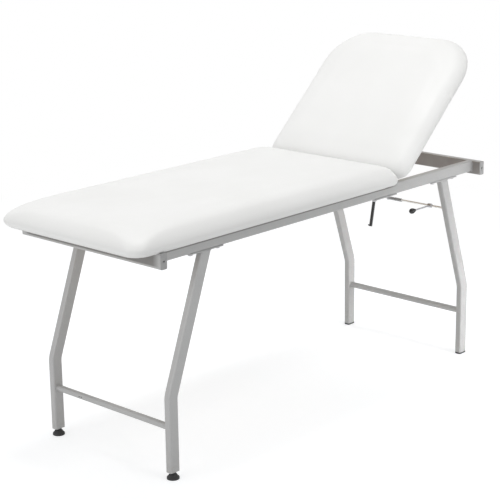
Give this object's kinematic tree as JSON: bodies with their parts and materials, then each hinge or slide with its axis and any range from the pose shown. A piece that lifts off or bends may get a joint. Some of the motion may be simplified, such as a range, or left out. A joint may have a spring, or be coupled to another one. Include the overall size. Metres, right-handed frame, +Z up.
{
  "type": "examination couch",
  "caption": "Tubular steel examination couch with a padded white seat section, a hinged backrest held by a locking strut, bent legs and levelling feet.",
  "frame": {"origin": "on the floor under the middle of the couch's outline, backrest raised as it is stored", "axes": "+X from the foot end to the head end, +Y to the left as seen from the foot end, +Z up"},
  "size_m": [1.782, 0.648, 1.2025],
  "materials": {
    "upholstery": "smooth white vinyl-coated upholstery fabric over foam",
    "board": "plain plywood, unseen from above",
    "frame_paint": "satin silver-grey powder coat",
    "zinc_steel": "zinc plated",
    "black_paint": "satin black paint",
    "chrome": "polished",
    "grey_plastic": "fine moulded texture",
    "black_plastic": "fine moulded texture",
    "rubber": "plain black"
  },
  "bodies": {
    "frame": {"cross_tube_caps": "grey_plastic", "fixed_leaf_left": "zinc_steel", "fixed_leaf_right": "zinc_steel", "fixed_leaf_screws": "zinc_steel", "foot_cross_tube": "frame_paint", "foot_leg_left": "frame_paint", "foot_leg_plate_left": "frame_paint", "foot_leg_plate_right": "frame_paint", "foot_leg_right": "frame_paint", "foot_stretcher": "frame_paint", "frame_bolts": "zinc_steel", "head_cross_tube": "frame_paint", "head_leg_cap_left": "black_plastic", "head_leg_cap_right": "black_plastic", "head_leg_left": "frame_paint", "head_leg_plate_left": "frame_paint", "head_leg_plate_right": "frame_paint", "head_leg_right": "frame_paint", "head_stretcher": "frame_paint", "hinge_cross_tube": "frame_paint", "hinge_pin_left": "zinc_steel", "hinge_pin_right": "zinc_steel", "leveller_plug_left": "black_plastic", "leveller_plug_right": "black_plastic", "rail_nuts": "zinc_steel", "rail_plate_left": "frame_paint", "rail_plate_right": "frame_paint", "seat_board": "board", "seat_brackets": "zinc_steel", "seat_cross_tube": "frame_paint", "seat_cushion": "upholstery", "seat_screws": "zinc_steel", "shaft_bushes": "black_plastic", "side_rail_left": "frame_paint", "side_rail_right": "frame_paint", "strut_frame_bracket": "zinc_steel"},
    "backrest": {"backrest_cushion": "upholstery", "backrest_board": "board", "moving_leaf_left": "zinc_steel", "moving_leaf_right": "zinc_steel", "moving_leaf_screws": "zinc_steel", "strut_backrest_bracket": "zinc_steel", "strut_pin": "zinc_steel", "strut_bracket_screws": "zinc_steel", "backrest_bumpers": "rubber"},
    "strut": {"strut_cylinder": "black_paint", "strut_guide": "black_paint", "strut_trunnion": "black_paint", "strut_end_stop": "black_paint"},
    "strut_rod": {"strut_rod": "chrome", "strut_rod_eye": "zinc_steel"},
    "release": {"release_shaft": "zinc_steel", "release_lever": "zinc_steel", "lever_knob": "black_plastic", "release_finger": "zinc_steel", "release_spring": "zinc_steel"},
    "levelling_foot_left": {"levelling_foot_left": "black_plastic"},
    "levelling_foot_right": {"levelling_foot_right": "black_plastic"}
  },
  "joints": [
    {"name": "backrest_tilt", "type": "hinge", "parent": "frame", "child": "backrest", "pos_m": [0.411, 0, 0.751], "axis": [0, -1, 0], "range_deg": [-42.7, 17]},
    {"name": "strut_swing", "type": "hinge", "parent": "frame", "child": "strut", "pos_m": [0.465, -0.14, 0.67], "axis": [0, -1, 0], "range_deg": [-22.5, 9.5]},
    {"name": "strut_rod_swing", "type": "hinge", "parent": "backrest", "child": "strut_rod", "pos_m": [0.49325, -0.14, 0.80785], "axis": [0, -1, 0], "range_deg": [-9, 21.5]},
    {"name": "release_turn", "type": "hinge", "parent": "frame", "child": "release", "pos_m": [0.73, 0, 0.594], "axis": [0, 1, 0], "range_deg": [0, 25], "stiffness_Nm_per_rad": 0.8, "springref_deg": -17.19},
    {"name": "level_left", "type": "slide", "parent": "frame", "child": "levelling_foot_left", "axis": [0, 0, -1], "range_m": [0, 0.012]},
    {"name": "level_right", "type": "slide", "parent": "frame", "child": "levelling_foot_right", "axis": [0, 0, -1], "range_m": [0, 0.012]}
  ],
  "couplings": [
    {"joint": "strut_swing", "follows": "backrest_tilt", "ratio": 0.515},
    {"joint": "strut_rod_swing", "follows": "backrest_tilt", "ratio": -0.485}
  ]
}
